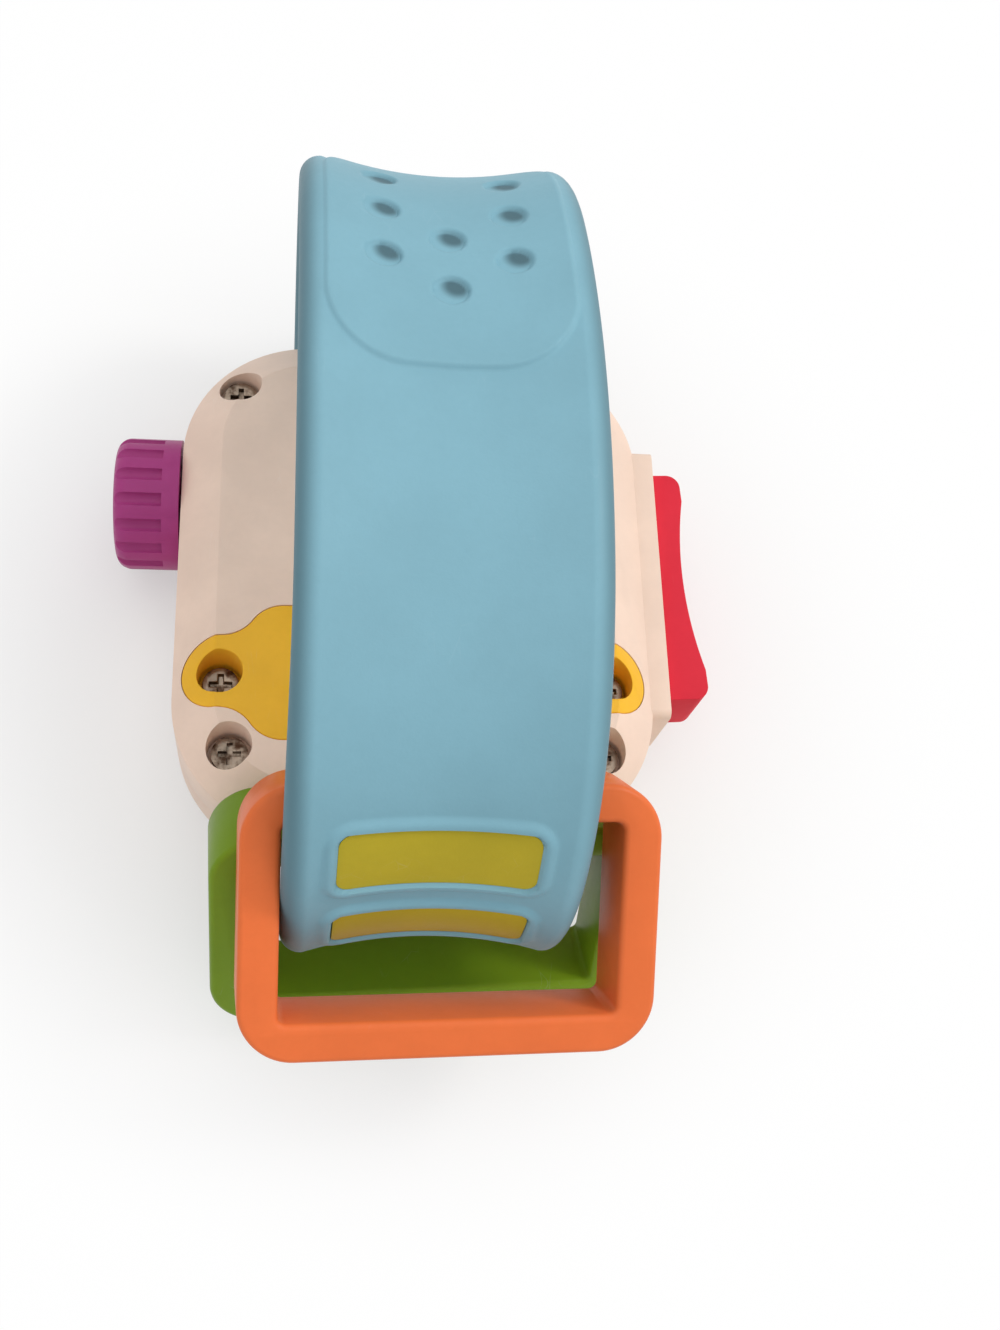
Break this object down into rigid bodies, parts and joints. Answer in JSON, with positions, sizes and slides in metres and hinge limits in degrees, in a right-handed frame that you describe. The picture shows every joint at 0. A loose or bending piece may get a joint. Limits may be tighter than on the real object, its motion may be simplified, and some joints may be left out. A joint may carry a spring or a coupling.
{
  "type": "toy watch",
  "caption": "Child's battery toy watch lying face down, with a ribbed crown, side rocker, yellow battery door, closed dimpled strap and loose clacker rings on the strap root.",
  "frame": {"origin": "Centre of the bezel's flat rim, in the plane the watch lies on.", "axes": "+Z from the face to the back, +Y along the strap to its dimpled end, +X to the rocker."},
  "size_m": [0.0998, 0.1426, 0.0847],
  "materials": {
    "cream_plastic": "smooth satin moulding",
    "blue_plastic": "smooth satin moulding",
    "yellow_plastic": "smooth moulding with a soft gloss",
    "inlay_plastic": "fine matt moulding",
    "orange_plastic": "smooth moulding with a soft gloss",
    "green_plastic": "smooth moulding with a soft gloss",
    "purple_plastic": "smooth moulding with a soft gloss",
    "red_plastic": "smooth moulding with a soft gloss",
    "hand_blue_plastic": "smooth moulding",
    "dial_plastic": "fine matt face",
    "white_plastic": "slippery natural moulding",
    "black_plastic": "fine matt moulding",
    "board_green": "lacquered board",
    "wire_red": "smooth insulation",
    "cell_wrap": "printed sleeve",
    "steel": "zinc-plated",
    "brass": "rolled strip"
  },
  "bodies": {
    "root": {"front_shell": "cream_plastic", "rear_shell": "cream_plastic", "bezel": "blue_plastic", "dial": "dial_plastic", "dial_marks": "purple_plastic", "hand_post": "yellow_plastic", "battery_door": "yellow_plastic", "door_screws": "steel", "case_screws": "steel", "battery_cell_north": "cell_wrap", "battery_cell_south": "cell_wrap", "contact_springs": "steel", "contact_plates": "steel", "circuit_board": "board_green", "sound_chip": "black_plastic", "board_screws": "steel", "speaker_frame": "steel", "speaker_cone": "black_plastic", "speaker_magnet": "steel", "speaker_leads": "wire_red", "battery_leads": "wire_red", "crown_bush": "white_plastic", "crown_leaf": "brass", "rocker_pin": "steel", "rocker_housing": "cream_plastic", "switch_board": "board_green", "side_switches": "black_plastic", "strap": "blue_plastic", "strap_inlays": "inlay_plastic", "strap_pins": "steel"},
    "crown": {"crown": "purple_plastic", "crown_shaft": "steel", "crown_clip": "black_plastic"},
    "rocker": {"rocker": "red_plastic"},
    "green_ring": {"green_ring": "green_plastic"},
    "orange_ring": {"orange_ring": "orange_plastic"},
    "hour_hand": {"hour_hand": "red_plastic"},
    "minute_hand": {"minute_hand": "hand_blue_plastic"}
  },
  "joints": [
    {"name": "crown_spin", "type": "hinge", "parent": "root", "child": "crown", "pos_m": [-0.045, 0.0172, 0.015], "axis": [-1, 0, 0], "continuous": true},
    {"name": "rocker_tilt", "type": "hinge", "parent": "root", "child": "rocker", "pos_m": [0.0406, 0.0013, 0.0166], "axis": [0, 0, -1], "range_deg": [0, 6]},
    {"name": "green_swing", "type": "hinge", "parent": "root", "child": "green_ring", "pos_m": [0, -0.0424, 0.0375], "axis": [-1, 0, 0], "range_deg": [0, 45]},
    {"name": "orange_swing", "type": "hinge", "parent": "green_ring", "child": "orange_ring", "pos_m": [0, -0.0424, 0.0375], "axis": [-1, 0, 0], "range_deg": [0, 15]},
    {"name": "hour_hand_turn", "type": "hinge", "parent": "root", "child": "hour_hand", "pos_m": [0, 0, 0.0033], "axis": [0, 0, -1], "continuous": true},
    {"name": "minute_hand_turn", "type": "hinge", "parent": "root", "child": "minute_hand", "pos_m": [0, 0, 0.0022], "axis": [0, 0, -1], "continuous": true}
  ]
}
